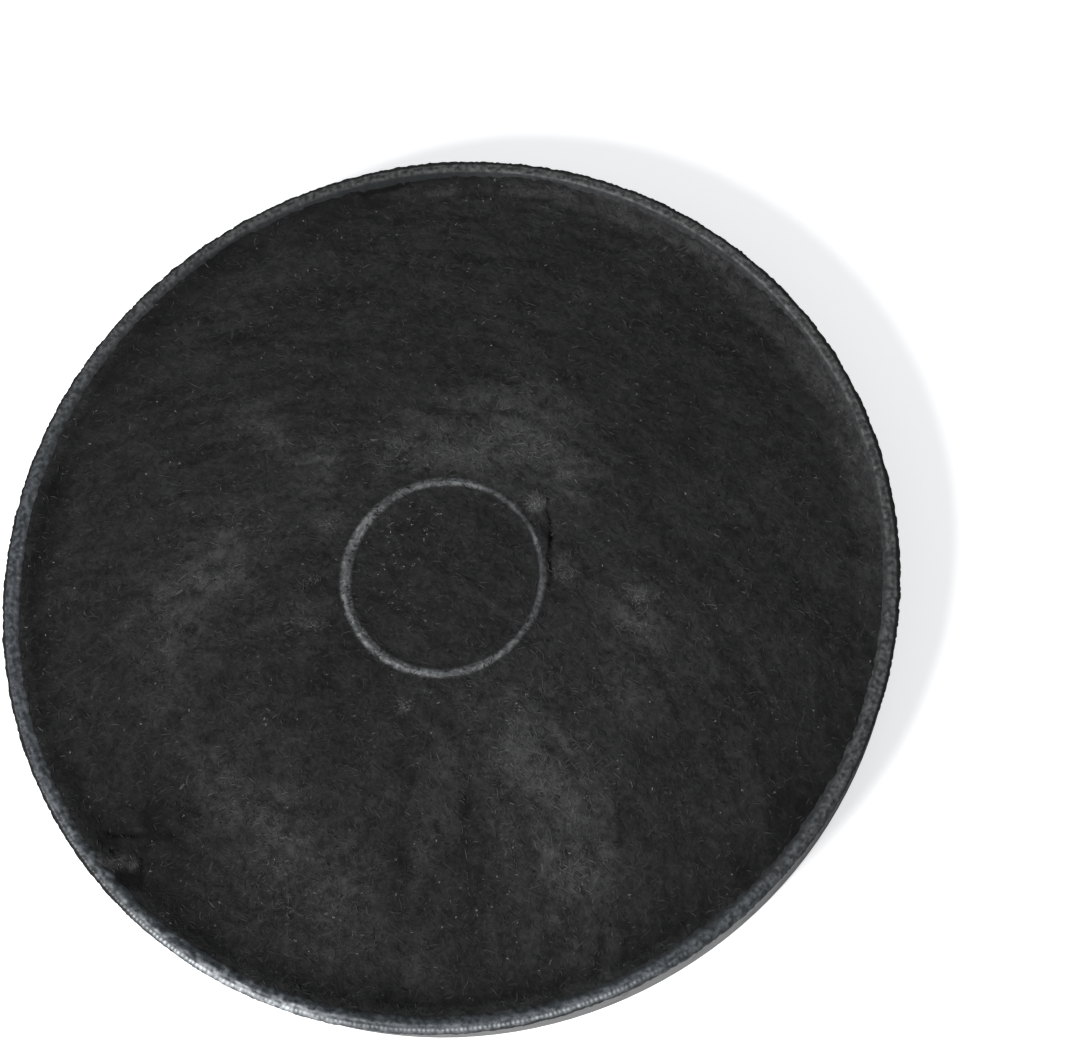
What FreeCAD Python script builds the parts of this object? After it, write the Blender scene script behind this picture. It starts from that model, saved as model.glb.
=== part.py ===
import FreeCAD, Part
import math
import os

import Sketcher
from FreeCAD import Vector

# A round carbon filter for a cooker hood: a moulded tray with a grille floor and a bayonet hub,
# a bed of carbon granules between two felts, and the face felt welded to the rim and to the hub.
# It lies on its grille with the felt face up. The origin is at the middle of the underside.

# Driving sizes: millimetres, degrees or a count
DRIVING = (
    ("rim_diameter", 240, "outside of the weld band"),
    ("overall_height", 22, "underside to the crest of the weld band"),
    ("band_width", 3.7, "weld band, inner edge to outer edge"),
    ("band_height", 2.8, "weld band above its shadow line"),
    ("band_overhang", 0.8, "weld band standing out past the side wall"),
    ("outer_bead_width", 1.5, "outer of the two ridges on the band"),
    ("outer_bead_rise", 0.7, "outer ridge above the band's upright edge"),
    ("groove_drop", 0.45, "groove between the ridges, below their crests"),
    ("side_draft", 0.4, "side wall leaning in towards the underside"),
    ("wall_thickness", 2.2, "side wall at its top"),
    ("foot_bevel", 1, "bevelled lower edge of the side wall"),
    ("border_width", 10.5, "plain ring round the grille"),
    ("grille_recess", 0.7, "grille set back from the underside"),
    ("grille_thickness", 2.2, "grille bars, measured upwards"),
    ("bar_width", 1.8, "grille bars, seen from below"),
    ("spoke_count", 30, "radial bars"),
    ("row_count", 4, "rows of grille cells"),
    ("hub_bore", 51.6, "inside of the hub tube"),
    ("hub_wall", 1.6, "hub tube"),
    ("collar_width", 3.6, "ring round the hub on the underside"),
    ("plate_recess", 1.2, "bayonet plate set back from the underside"),
    ("plate_thickness", 2.4, "bayonet plate"),
    ("bayonet_bore", 35, "round hole of the bayonet plate"),
    ("notch_reach", 4, "entry notch, outwards from the bore"),
    ("notch_width", 7.2, "entry notch for a lug"),
    ("notch_count", 3, "entry notches, and stops between them"),
    ("stop_height", 3, "stop above the bayonet plate"),
    ("stop_thickness", 1.6, "stop, along the turn"),
    ("stop_setback", 0.8, "stop standing back from the bore"),
    ("felt_thickness", 2, "face felt where it is loose"),
    ("felt_edge", 0.8, "face felt pressed under the weld band"),
    ("felt_grip", 1.2, "face felt caught on top of the side wall"),
    ("band_cover", 1.8, "weld band above the caught felt"),
    ("cove_width", 7.4, "felt slope inside the band"),
    ("cove_sag", 0.5, "hollow of the slope"),
    ("face_depth", 3.2, "flat of the felt below the rim"),
    ("ring_depth", 2.8, "weld ring crest below the rim"),
    ("ring_rise", 0.5, "weld ring above its foot"),
    ("ring_web", 0.4, "felt melted onto the hub tube"),
    ("ring_slope", 2.4, "felt rising back to its full thickness beside the ring"),
    ("hub_felt_dip", 1, "felt inside the weld ring, below its crest"),
    ("base_felt", 1.5, "felt on the grille"),
    ("felt_fit", 0.15, "gap round the edges of the base felt"),
    ("fill_gap", 0.2, "gap round the granule bed"),
    ("bed_lift", 1, "granules banked up against the side wall"),
)

# Sizes that follow from the driving ones
DERIVED = (
    ("rim_radius", "=rim_diameter / 2"),
    ("band_inner_radius", "=rim_radius - band_width"),
    ("groove_radius", "=rim_radius - outer_bead_width"),
    ("outer_crest_radius", "=rim_radius - outer_bead_width / 2"),
    ("inner_crest_radius", "=(groove_radius + band_inner_radius) / 2"),
    ("band_shoulder", "=overall_height - outer_bead_rise"),
    ("groove_level", "=overall_height - groove_drop"),
    ("band_underside", "=overall_height - band_height"),
    ("slot_top", "=overall_height - band_cover"),
    ("slot_bottom", "=slot_top - felt_edge"),
    ("skirt_radius", "=rim_radius - band_overhang"),
    ("skirt_foot_radius", "=skirt_radius - side_draft"),
    ("foot_flat_radius", "=skirt_foot_radius - foot_bevel"),
    ("wall_radius", "=skirt_radius - wall_thickness"),
    ("slot_radius", "=wall_radius + felt_grip"),
    ("border_radius", "=skirt_foot_radius - border_width"),
    ("floor_top", "=grille_recess + grille_thickness"),
    ("hub_radius", "=hub_bore / 2"),
    ("hub_outer_radius", "=hub_radius + hub_wall"),
    ("collar_radius", "=hub_radius + collar_width"),
    ("plate_top", "=plate_recess + plate_thickness"),
    ("bore_radius", "=bayonet_bore / 2"),
    ("notch_radius", "=bore_radius + notch_reach"),
    ("notch_root_radius", "=bore_radius - notch_reach"),
    ("stop_radius", "=bore_radius + stop_setback"),
    ("row_pitch", "=(border_radius - collar_radius) / row_count"),
    ("spoke_step", "=360 / spoke_count"),
    ("ring_crest", "=overall_height - ring_depth"),
    ("ring_foot", "=ring_crest - ring_rise"),
    ("ring_radius", "=hub_radius + hub_wall / 2"),
    ("hub_top", "=ring_foot - ring_web"),
    ("swell_radius", "=hub_outer_radius + ring_slope"),
    ("face_top", "=overall_height - face_depth"),
    ("face_under", "=face_top - felt_thickness"),
    ("cove_radius", "=band_inner_radius - cove_width"),
    ("slope_radius", "=(cove_radius + band_inner_radius) / 2"),
    ("slope_top", "=(face_top + slot_top) / 2 - cove_sag"),
    ("hub_felt_radius", "=hub_radius - ring_slope"),
    ("hub_felt_top", "=ring_crest - hub_felt_dip"),
    ("hub_felt_under", "=hub_felt_top - felt_thickness"),
    ("base_felt_radius", "=wall_radius - felt_fit"),
    ("base_felt_hole_radius", "=hub_outer_radius + felt_fit"),
    ("bed_bottom", "=floor_top + base_felt"),
    ("bed_inner_radius", "=hub_outer_radius + fill_gap"),
    ("bed_outer_radius", "=wall_radius - fill_gap"),
    ("bed_top", "=face_under - fill_gap"),
    ("bed_bank_top", "=bed_top + bed_lift"),
)

ON_AXIS = None
SHEET_NAME = "Sizes"
FULL_TURN = 360
ORIGIN_POINT = (-1, 1)
X_AXIS_INDEX, Y_AXIS_INDEX = -1, -2
START_INDEX, END_INDEX, CENTRE_INDEX = 1, 2, 3
THROUGH_ALL = 1
CUBIC_MM_PER_CUBIC_CM = 1000

doc = FreeCAD.newDocument("hood_carbon_filter")


def fill_sheet():
    """Puts every size in the document's sheet, under its own name."""
    sheet = doc.addObject("Spreadsheet::Sheet", SHEET_NAME)
    rows = [(name, str(value), note) for name, value, note in DRIVING]
    rows += [(name, formula, "") for name, formula in DERIVED]
    for number, (name, text, note) in enumerate(rows, start=1):
        sheet.set(f"A{number}", name)
        sheet.set(f"B{number}", text)
        sheet.set(f"C{number}", note)
        sheet.setAlias(f"B{number}", name)
    doc.recompute()
    return sheet


sizes = fill_sheet()


def size(name):
    return 0.0 if name is ON_AXIS else float(sizes.get(name))


def bind(thing, prop, expression):
    thing.setExpression(prop, expression)


def new_body(label):
    body = doc.addObject("PartDesign::Body", label)
    body.Label = label
    body.Placement = FreeCAD.Placement()
    return body


def new_sketch(body, name, role):
    """A sketch on one of the body's own origin planes."""
    sketch = body.newObject("Sketcher::SketchObject", name)
    plane = next(item for item in body.Origin.OriginFeatures if item.Role == role)
    sketch.AttachmentSupport = [(plane, "")]
    sketch.MapMode = "FlatFace"
    return sketch


def constrain(sketch, kind, *where, expression=None):
    """Adds a constraint, and ties its value to the sheet if it has one."""
    index = sketch.addConstraint(Sketcher.Constraint(kind, *where))
    if expression:
        bind(sketch, f"Constraints[{index}]", expression)


def place_point(sketch, geometry, position, x_name, y_name):
    """Ties a point of the sketch to two sizes, or to an axis where a size is none."""
    if x_name is ON_AXIS:
        constrain(sketch, "PointOnObject", geometry, position, Y_AXIS_INDEX)
    else:
        constrain(sketch, "DistanceX", *ORIGIN_POINT, geometry, position, size(x_name),
                  expression=f"{SHEET_NAME}.{x_name}")
    if y_name is ON_AXIS:
        constrain(sketch, "PointOnObject", geometry, position, X_AXIS_INDEX)
    else:
        constrain(sketch, "DistanceY", *ORIGIN_POINT, geometry, position, size(y_name),
                  expression=f"{SHEET_NAME}.{y_name}")


def draw_loop(sketch, points):
    """A closed run of lines through the points, joined end to start."""
    lines = [sketch.addGeometry(Part.LineSegment(start, end))
             for start, end in zip(points, points[1:] + points[:1])]
    for line, following in zip(lines, lines[1:] + lines[:1]):
        constrain(sketch, "Coincident", line, END_INDEX, following, START_INDEX)
    return lines


def draw_section(body, name, corners):
    """A closed half section on the XZ plane, through corners that are each a radius and a level."""
    sketch = new_sketch(body, name, "XZ_Plane")
    points = [Vector(size(radius_name), size(level_name), 0) for radius_name, level_name in corners]
    for line, corner in zip(draw_loop(sketch, points), corners):
        place_point(sketch, line, START_INDEX, *corner)
    return sketch


def revolve(body, name, sketch):
    turned = body.newObject("PartDesign::Revolution", name)
    turned.Profile = sketch
    turned.ReferenceAxis = (sketch, ["V_Axis"])
    turned.Angle = FULL_TURN
    sketch.Visibility = False
    return turned


def pocket_upwards(body, name, sketch):
    """Cuts everything above the sketch."""
    pocket = body.newObject("PartDesign::Pocket", name)
    pocket.Profile = sketch
    pocket.Type = THROUGH_ALL
    pocket.Reversed = True
    return pocket


def repeat_round(body, name, feature, sketch, count_name):
    """Repeats a feature evenly round the filter's axis."""
    pattern = body.newObject("PartDesign::PolarPattern", name)
    pattern.Originals = [feature]
    pattern.Axis = (sketch, ["N_Axis"])
    pattern.Angle = FULL_TURN
    bind(pattern, "Occurrences", f"{SHEET_NAME}.{count_name}")
    body.Tip = pattern
    return pattern


def draw_rectangle(sketch, inner_name, outer_name, width_name, side):
    """A rectangle across the X axis, between two radii on one side of the origin."""
    inner, outer = side * size(inner_name), side * size(outer_name)
    width = size(width_name)
    low, high = -width / 2, width / 2
    corners = [Vector(inner, low, 0), Vector(outer, low, 0), Vector(outer, high, 0), Vector(inner, high, 0)]
    lines = draw_loop(sketch, corners)
    constrain(sketch, "Horizontal", lines[0])
    constrain(sketch, "Horizontal", lines[2])
    constrain(sketch, "Vertical", lines[3])
    constrain(sketch, "Symmetric", lines[1], START_INDEX, lines[1], END_INDEX, X_AXIS_INDEX)
    constrain(sketch, "DistanceY", lines[0], START_INDEX, lines[3], START_INDEX, width,
              expression=f"{SHEET_NAME}.{width_name}")
    for line, radius_name in ((lines[0], inner_name), (lines[1], outer_name)):
        ends = (*ORIGIN_POINT, line, START_INDEX) if side > 0 else (line, START_INDEX, *ORIGIN_POINT)
        constrain(sketch, "DistanceX", *ends, size(radius_name), expression=f"{SHEET_NAME}.{radius_name}")


def draw_grille_cell(sketch, row, ray):
    """One cell between two spokes of even width, in the given row counted from the hub."""
    half = size("bar_width") / 2
    step = math.radians(size("spoke_step"))
    inner = size("collar_radius") + row * size("row_pitch") + half
    outer = size("collar_radius") + (row + 1) * size("row_pitch") - half

    def corner(radius, far_side):
        angle = math.asin(half / radius)
        angle = step - angle if far_side else angle
        return Vector(radius * math.cos(angle), radius * math.sin(angle), 0)

    def rim(radius):
        lean = math.asin(half / radius)
        return Part.ArcOfCircle(Part.Circle(Vector(0, 0, 0), Vector(0, 0, 1), radius), lean, step - lean)

    near = sketch.addGeometry(Part.LineSegment(corner(inner, False), corner(outer, False)))
    outside = sketch.addGeometry(rim(outer))
    far = sketch.addGeometry(Part.LineSegment(corner(outer, True), corner(inner, True)))
    inside = sketch.addGeometry(rim(inner))
    constrain(sketch, "Coincident", near, END_INDEX, outside, START_INDEX)
    constrain(sketch, "Coincident", outside, END_INDEX, far, START_INDEX)
    constrain(sketch, "Coincident", far, END_INDEX, inside, END_INDEX)
    constrain(sketch, "Coincident", inside, START_INDEX, near, START_INDEX)
    first_row = f"{SHEET_NAME}.collar_radius + {row} * {SHEET_NAME}.row_pitch"
    half_bar = f"{SHEET_NAME}.bar_width / 2"
    for arc, radius, expression in (
        (inside, inner, f"{first_row} + {half_bar}"),
        (outside, outer, f"{first_row} + {SHEET_NAME}.row_pitch - {half_bar}"),
    ):
        constrain(sketch, "Coincident", arc, CENTRE_INDEX, *ORIGIN_POINT)
        constrain(sketch, "Radius", arc, radius, expression=expression)
    constrain(sketch, "Horizontal", near)
    constrain(sketch, "DistanceY", *ORIGIN_POINT, near, START_INDEX, half, expression=half_bar)
    constrain(sketch, "Parallel", far, ray)
    constrain(sketch, "Distance", far, START_INDEX, ray, half, expression=half_bar)


def draw_spoke_ray(sketch):
    """A guide line along the middle of the second spoke."""
    step = math.radians(size("spoke_step"))
    reach = size("border_radius")
    tip = Vector(reach * math.cos(step), reach * math.sin(step), 0)
    ray = sketch.addGeometry(Part.LineSegment(Vector(0, 0, 0), tip), True)
    constrain(sketch, "Coincident", ray, START_INDEX, *ORIGIN_POINT)
    constrain(sketch, "Distance", ray, reach, expression=f"{SHEET_NAME}.border_radius")
    constrain(sketch, "Angle", X_AXIS_INDEX, START_INDEX, ray, START_INDEX, step,
              expression=f"{SHEET_NAME}.spoke_step")
    return ray


def build_housing():
    """The moulded tray: side wall with its weld band, grille floor, and hub with a bayonet plate."""
    body = new_body("housing")
    section = draw_section(body, "housing_section", (
        ("bore_radius", "plate_recess"),
        ("bore_radius", "plate_top"),
        ("hub_radius", "plate_top"),
        ("hub_radius", "hub_top"),
        ("hub_outer_radius", "hub_top"),
        ("hub_outer_radius", "floor_top"),
        ("wall_radius", "floor_top"),
        ("wall_radius", "slot_bottom"),
        ("slot_radius", "slot_bottom"),
        ("slot_radius", "slot_top"),
        ("band_inner_radius", "slot_top"),
        ("inner_crest_radius", "overall_height"),
        ("groove_radius", "groove_level"),
        ("outer_crest_radius", "overall_height"),
        ("rim_radius", "band_shoulder"),
        ("rim_radius", "band_underside"),
        ("skirt_radius", "band_underside"),
        ("skirt_foot_radius", "foot_bevel"),
        ("foot_flat_radius", ON_AXIS),
        ("border_radius", ON_AXIS),
        ("border_radius", "grille_recess"),
        ("collar_radius", "grille_recess"),
        ("collar_radius", ON_AXIS),
        ("hub_radius", ON_AXIS),
        ("hub_radius", "plate_recess"),
    ))
    revolve(body, "tray", section)

    cells = new_sketch(body, "grille_cells", "XY_Plane")
    ray = draw_spoke_ray(cells)
    for row in range(int(size("row_count"))):
        draw_grille_cell(cells, row, ray)
    first_cells = pocket_upwards(body, "first_cells", cells)
    repeat_round(body, "grille", first_cells, cells, "spoke_count")

    notch = new_sketch(body, "notch_outline", "XY_Plane")
    draw_rectangle(notch, "notch_root_radius", "notch_radius", "notch_width", 1)
    first_notch = pocket_upwards(body, "first_notch", notch)
    repeat_round(body, "notches", first_notch, notch, "notch_count")

    stop = new_sketch(body, "stop_outline", "XY_Plane")
    bind(stop, ".AttachmentOffset.Base.z", f"{SHEET_NAME}.plate_top")
    draw_rectangle(stop, "stop_radius", "ring_radius", "stop_thickness", -1)
    first_stop = body.newObject("PartDesign::Pad", "first_stop")
    first_stop.Profile = stop
    bind(first_stop, "Length", f"{SHEET_NAME}.stop_height")
    repeat_round(body, "stops", first_stop, stop, "notch_count")
    return body


def build_face_felt():
    """The face felt: one sheet, pressed thin where it is melted to the rim and to the hub."""
    body = new_body("face_fleece")
    section = draw_section(body, "face_section", (
        (ON_AXIS, "hub_felt_top"),
        ("hub_felt_radius", "hub_felt_top"),
        ("hub_radius", "ring_foot"),
        ("ring_radius", "ring_crest"),
        ("hub_outer_radius", "ring_foot"),
        ("swell_radius", "face_top"),
        ("cove_radius", "face_top"),
        ("slope_radius", "slope_top"),
        ("band_inner_radius", "slot_top"),
        ("slot_radius", "slot_top"),
        ("slot_radius", "slot_bottom"),
        ("band_inner_radius", "slot_bottom"),
        ("cove_radius", "face_under"),
        ("swell_radius", "face_under"),
        ("hub_outer_radius", "hub_top"),
        ("hub_radius", "hub_top"),
        ("hub_felt_radius", "hub_felt_under"),
        (ON_AXIS, "hub_felt_under"),
    ))
    revolve(body, "face_sheet", section)
    return body


def build_granule_bed():
    """The carbon granules, as one filling between the two felts."""
    body = new_body("carbon_bed")
    section = draw_section(body, "bed_section", (
        ("bed_inner_radius", "bed_bottom"),
        ("bed_outer_radius", "bed_bottom"),
        ("bed_outer_radius", "bed_bank_top"),
        ("cove_radius", "bed_top"),
        ("bed_inner_radius", "bed_top"),
    ))
    revolve(body, "bed_fill", section)
    return body


def build_base_felt():
    """The flat felt that keeps the granules off the grille."""
    body = new_body("base_fleece")
    outline = new_sketch(body, "base_outline", "XY_Plane")
    bind(outline, ".AttachmentOffset.Base.z", f"{SHEET_NAME}.floor_top")
    for name in ("base_felt_radius", "base_felt_hole_radius"):
        circle = outline.addGeometry(Part.Circle(Vector(0, 0, 0), Vector(0, 0, 1), size(name)))
        constrain(outline, "Coincident", circle, CENTRE_INDEX, *ORIGIN_POINT)
        constrain(outline, "Radius", circle, size(name), expression=f"{SHEET_NAME}.{name}")
    pad = body.newObject("PartDesign::Pad", "base_sheet")
    pad.Profile = outline
    bind(pad, "Length", f"{SHEET_NAME}.base_felt")
    return body


def check_and_write(bodies):
    """Stops on any failed feature or bad solid, and then writes each piece to its own file."""
    doc.recompute()
    for item in doc.Objects:
        if {"Invalid", "Error"} & set(item.State):
            raise RuntimeError(f"{item.Label} failed: {item.State}")
        if item.TypeId == "Sketcher::SketchObject" and not item.FullyConstrained:
            raise RuntimeError(f"{item.Label} isn't fully constrained")
    os.makedirs("parts", exist_ok=True)
    for body in bodies:
        shape = body.Shape
        if shape.isNull() or not shape.isValid() or not shape.Solids:
            raise RuntimeError(f"{body.Label} has no valid solid")
    for body in bodies:
        box = body.Shape.BoundBox
        volume = body.Shape.Volume / CUBIC_MM_PER_CUBIC_CM
        body.Shape.exportStep(f"parts/{body.Label}.step")
        print(f"{body.Label}: {len(body.Shape.Solids)} solid, {volume:.1f} cm3,"
              f" z {box.ZMin:.2f} to {box.ZMax:.2f}, across {box.XLength:.1f}")


check_and_write([build_housing(), build_face_felt(), build_granule_bed(), build_base_felt()])
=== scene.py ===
import math
from functools import partial

import bmesh
import bpy
import numpy as np
from mathutils import Matrix, Vector


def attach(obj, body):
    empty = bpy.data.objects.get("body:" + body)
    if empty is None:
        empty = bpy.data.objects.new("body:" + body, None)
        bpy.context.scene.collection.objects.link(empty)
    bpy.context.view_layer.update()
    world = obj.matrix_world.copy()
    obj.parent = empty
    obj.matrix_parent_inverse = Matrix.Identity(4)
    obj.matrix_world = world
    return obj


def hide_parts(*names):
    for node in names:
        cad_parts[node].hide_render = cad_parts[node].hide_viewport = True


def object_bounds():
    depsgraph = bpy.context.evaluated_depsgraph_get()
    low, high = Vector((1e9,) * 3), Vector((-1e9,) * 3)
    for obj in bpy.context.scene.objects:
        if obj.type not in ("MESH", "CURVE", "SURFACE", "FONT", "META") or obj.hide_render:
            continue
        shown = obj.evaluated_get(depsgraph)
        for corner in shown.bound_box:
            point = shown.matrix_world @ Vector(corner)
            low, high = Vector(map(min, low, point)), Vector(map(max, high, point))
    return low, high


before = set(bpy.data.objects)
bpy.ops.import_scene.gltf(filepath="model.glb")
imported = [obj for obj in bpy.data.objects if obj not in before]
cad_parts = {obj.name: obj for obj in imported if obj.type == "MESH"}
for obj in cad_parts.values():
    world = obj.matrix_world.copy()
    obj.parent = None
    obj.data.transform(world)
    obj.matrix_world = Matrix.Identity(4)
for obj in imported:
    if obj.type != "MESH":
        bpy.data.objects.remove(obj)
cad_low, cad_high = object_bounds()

# The looks of a round carbon filter: a black tray with a rough weld band, and a matted felt face.
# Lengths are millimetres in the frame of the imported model, and metres only in the finished meshes.
MM = 0.001
RIM_RADIUS = cad_high.x / MM
HEIGHT = cad_high.z / MM

# Felt face
RING_RADIUS = 26.6
RING_CREST = HEIGHT - 2.8
RING_FOOT = RING_CREST - 0.5
RING_HALF_WIDTH = 0.8
RING_SLOPE = 2.4
CENTRE_TOP = RING_CREST - 1.0
FACE_TOP = HEIGHT - 3.2
FELT_THICKNESS = 2.0
BAND_INNER_RADIUS = RIM_RADIUS - 3.7
BAND_FOOT_LEVEL = HEIGHT - 1.8
SLOPE_WIDTH = 7.4
SLOPE_MIDDLE_LEVEL = FACE_TOP + 0.2
FLUFF = 0.85          # how far the loose felt stands above the edge caught under the band
FELT_CUT_RADIUS = RIM_RADIUS - 1.8
FELT_SPACING, RING_SPACING, UNDERSIDE_SPACING = 0.85, 0.45, 2.5

# Tray
BAND_UNDERSIDE = HEIGHT - 2.8
SKIRT_RADIUS = RIM_RADIUS - 0.8
SKIRT_FOOT_RADIUS = SKIRT_RADIUS - 0.4
FOOT_BEVEL = 1.0
WALL_RADIUS = SKIRT_RADIUS - 2.2
WALL_TOP = BAND_FOOT_LEVEL - 0.8
BORDER_RADIUS = SKIRT_FOOT_RADIUS - 10.5
GRILLE_BOTTOM, GRILLE_TOP = 0.7, 2.9
BAR_WIDTH = 1.8
SPOKES, ROWS = 30, 4
HUB_RADIUS, HUB_OUTER_RADIUS, COLLAR_RADIUS = 25.8, 27.4, 29.4
HUB_TOP = RING_FOOT - 0.4
PLATE_BOTTOM, PLATE_TOP = 1.2, 3.6
BORE_RADIUS, NOTCH_REACH, NOTCH_WIDTH, NOTCHES = 17.5, 4.0, 7.2, 3
STOP_HEIGHT, STOP_THICKNESS, STOP_INNER_RADIUS, STOP_ROOT = 3.0, 1.6, 18.3, 0.3
EDGE_ROUNDING = 0.3

# Floor felt
FELT_FIT = 0.15
FLOOR_FELT_INNER, FLOOR_FELT_OUTER = HUB_OUTER_RADIUS + FELT_FIT, WALL_RADIUS - FELT_FIT
FLOOR_FELT_THICKNESS = 1.5

# Colours of the finishes
PIT_BLACK = (0.004, 0.004, 0.004, 1)
FACE_FELT_LIGHT = (0.0288, 0.0286, 0.0284, 1)
FLOOR_FELT_DARK, FLOOR_FELT_LIGHT = (0.012, 0.012, 0.0125, 1), (0.045, 0.045, 0.044, 1)
FIBRE_LIGHT = (0.22, 0.22, 0.215, 1)
MELTED_DARK, MELTED_LIGHT = (0.05, 0.053, 0.055, 1), (0.146, 0.15, 0.153, 1)
BAND_PLAIN_DARK, BAND_PLAIN_LIGHT = (0.013, 0.0132, 0.013, 1), (0.052, 0.053, 0.052, 1)
BAND_BLUISH_DARK, BAND_BLUISH_LIGHT = (0.0125, 0.0145, 0.0165, 1), (0.049, 0.054, 0.06, 1)
# The first colour on the next line is a painted highlight for the weld band.
BAND_HIGHLIGHT, BAND_SHADE = (0.42, 0.44, 0.455, 1), (0.0095, 0.011, 0.012, 1)
TRAY_BLACK, TRAY_RUBBED = (0.0125, 0.0135, 0.015, 1), (0.0165, 0.0177, 0.019, 1)
TRAY_CLOUD = (0.018, 0.0195, 0.021, 1)
GRANULE_FACE, GRANULE_GAP = (0.03, 0.03, 0.031, 1), (0.005, 0.005, 0.005, 1)

# Strands of the felt run in arcs round this point
SWIRL = (-39.0, -88.0)


def smooth(value):
    """A soft step from 0 to 1."""
    value = np.clip(value, 0, 1)
    return value * value * (3 - 2 * value)


def noise(x, y, cell, seed):
    """Soft noise from -1 to 1 over a plane, with lumps as large as the cell."""
    span = 256
    table = np.random.default_rng(seed).uniform(-1, 1, (span, span))
    u, v = np.asarray(x) / cell + span / 3, np.asarray(y) / cell + span / 3
    i, j = np.floor(u).astype(int), np.floor(v).astype(int)
    s, t = smooth(u - i), smooth(v - j)
    corner = [table[(i + a) % span, (j + b) % span] for a in (0, 1) for b in (0, 1)]
    return (corner[0] * (1 - s) + corner[2] * s) * (1 - t) + (corner[1] * (1 - s) + corner[3] * s) * t


def swirl_place(x, y):
    """Distance from the middle of the swirl, and the way along its arcs."""
    dx, dy = np.asarray(x) - SWIRL[0], np.asarray(y) - SWIRL[1]
    return np.hypot(dx, dy), np.arctan2(dy, dx)


# Lighter patches of wear and painted light, and darker ones, some of them painted shade along the creases
# and round the fold: x, y, half length, half width, turn in degrees, strength
LIGHT_AND_DARK_PATCHES = (
    (-12, 36, 10, 8, 30, 0.65),
    (6, 38, 12, 8, 0, 0.95),
    (24, 38, 10, 11, -20, 0.85),
    (16, 50, 13, 5, -10, 0.4),
    (-45, 41, 13, 5, -32, 0.65),
    (-34, 34, 5, 8, 0, 0.5),
    (-66, 3, 19, 9, 40, 0.85),
    (-76, -17, 5, 11, 10, 0.5),
    (-44, -68, 33, 10, -45, 0.6),
    (-25, -85, 5, 15, -10, 0.28),
    (27, -60, 12, 28, 8, 0.7),
    (15, -42, 9, 13, 10, 0.5),
    (38, -76, 9, 20, 5, 0.5),
    (-1, -61, 5, 20, 0, 0.35),
    (0.8, -80, 1.8, 18, 2, -0.2),
    (-11.0, -77, 1.8, 22, -3, -0.25),
    (7.0, -73, 1.4, 20, 3, -0.22),
    (53, -13, 9, 7, -20, 0.6),
    (50, -28, 13, 14, 0, 0.35),
    (32.4, 0, 2.6, 5, 0, 0.7),
    # Painted shade along the crease beside the ring
    (28.5, 9.5, 0.6, 10, 0, -0.7),
    (-10, -35.3, 1.5, 1.7, 0, 0.9),
    (18.6, -32.5, 1.6, 1.3, 0, 0.55),
    (34, 25, 7, 8, 0, 0.55),
    (-33, 17, 5, 5, 0, 0.4),
    (-37, -8, 5, 9, 0, 0.4),
    (-57, -4, 8, 7, 0, 0.22),
    (23, 111, 14, 3, -10, 0.5),
    # Painted shade along the crease near the top of the rim
    (-17, 113.8, 6.5, 0.8, 10, -0.9),
    (-5, 112, 9, 2.0, 2, 0.4),
    (-74, -64, 15, 12, 0, -0.4),
    (92, -58, 16, 12, 60, -0.2),
    (25.1, 19.2, 2.0, 2.0, 0, 2.2),
    (52.6, -7.2, 2.8, 1.5, -8, 1.3),
    (32.5, 27.6, 1.8, 1.8, 0, 0.9),
    # The fold at the lower left: lighter on its top, with painted shadow round it
    (-83.6, -74.3, 4.6, 2.0, -22, 1.15),
    (-83.2, -67.1, 3.4, 0.6, -5, -1.2),
    (-85.8, -71.6, 1.2, 0.6, -15, -0.8),
    (-82.8, -78.9, 3.2, 1.7, -30, -0.5),
    (-78.8, -77.5, 4.5, 1.0, 92, -0.35),
    (-32, -24, 12, 8, 0, -0.2),
    (75, 45, 30, 22, 60, -0.12),
)

# Lint caught in the felt: x, y, spread, number of fibres, tone
LINT = (
    (25.2, 19.0, 1.0, 130, 0.3),
    (32.4, 27.0, 0.9, 50, 0.22),
    (32.6, -1.0, 1.3, 60, 0.2),
    (52.5, -8.3, 1.1, 90, 0.24),
    (57.0, -7.6, 0.8, 30, 0.2),
    (-9.6, -35.0, 0.9, 60, 0.26),
    (-4.0, -31.5, 0.8, 20, 0.2),
    (-31.5, 15.5, 1.2, 45, 0.22),
    (-35.5, 0.5, 1.0, 40, 0.22),
    (-35.5, -12.0, 1.2, 45, 0.22),
)


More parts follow.
